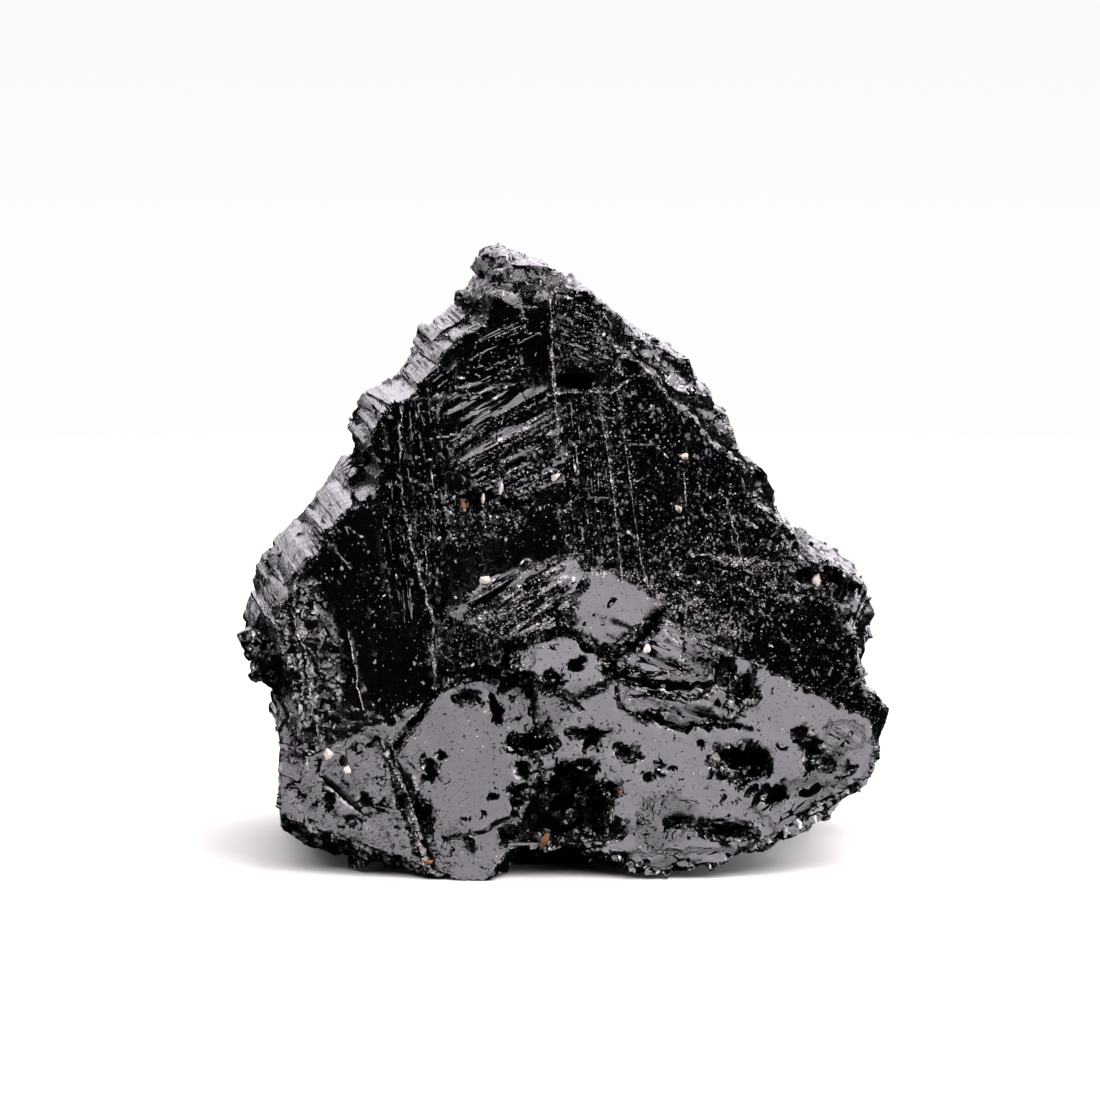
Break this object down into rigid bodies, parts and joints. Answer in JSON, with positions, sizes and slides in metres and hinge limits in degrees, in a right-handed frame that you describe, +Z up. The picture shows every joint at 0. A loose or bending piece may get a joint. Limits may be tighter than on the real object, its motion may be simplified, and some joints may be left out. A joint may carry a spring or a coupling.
{
  "type": "black tourmaline specimen",
  "caption": "Rough broken hand piece of black tourmaline: a dark leaning wall over a bright stepped and pitted foot, striated prism sides, and columns broken off behind.",
  "frame": {"origin": "middle of the small flat that the piece rests on", "axes": "+Z up; -Y towards the dark wall and the bright foot; the crystals' long axis runs roughly along Y"},
  "size_m": [0.0533, 0.0345, 0.0487],
  "materials": {
    "schorl": "glassy black natural crystal, mirror-like on flat breaks and finely hackly between them",
    "pale_grain": "small pale feldspar and quartz grains with a dull broken surface",
    "iron_stain": "rusty brown earthy grains and flakes left in pits"
  },
  "bodies": {
    "root": {"tourmaline_mass": "schorl"}
  },
  "joints": []
}
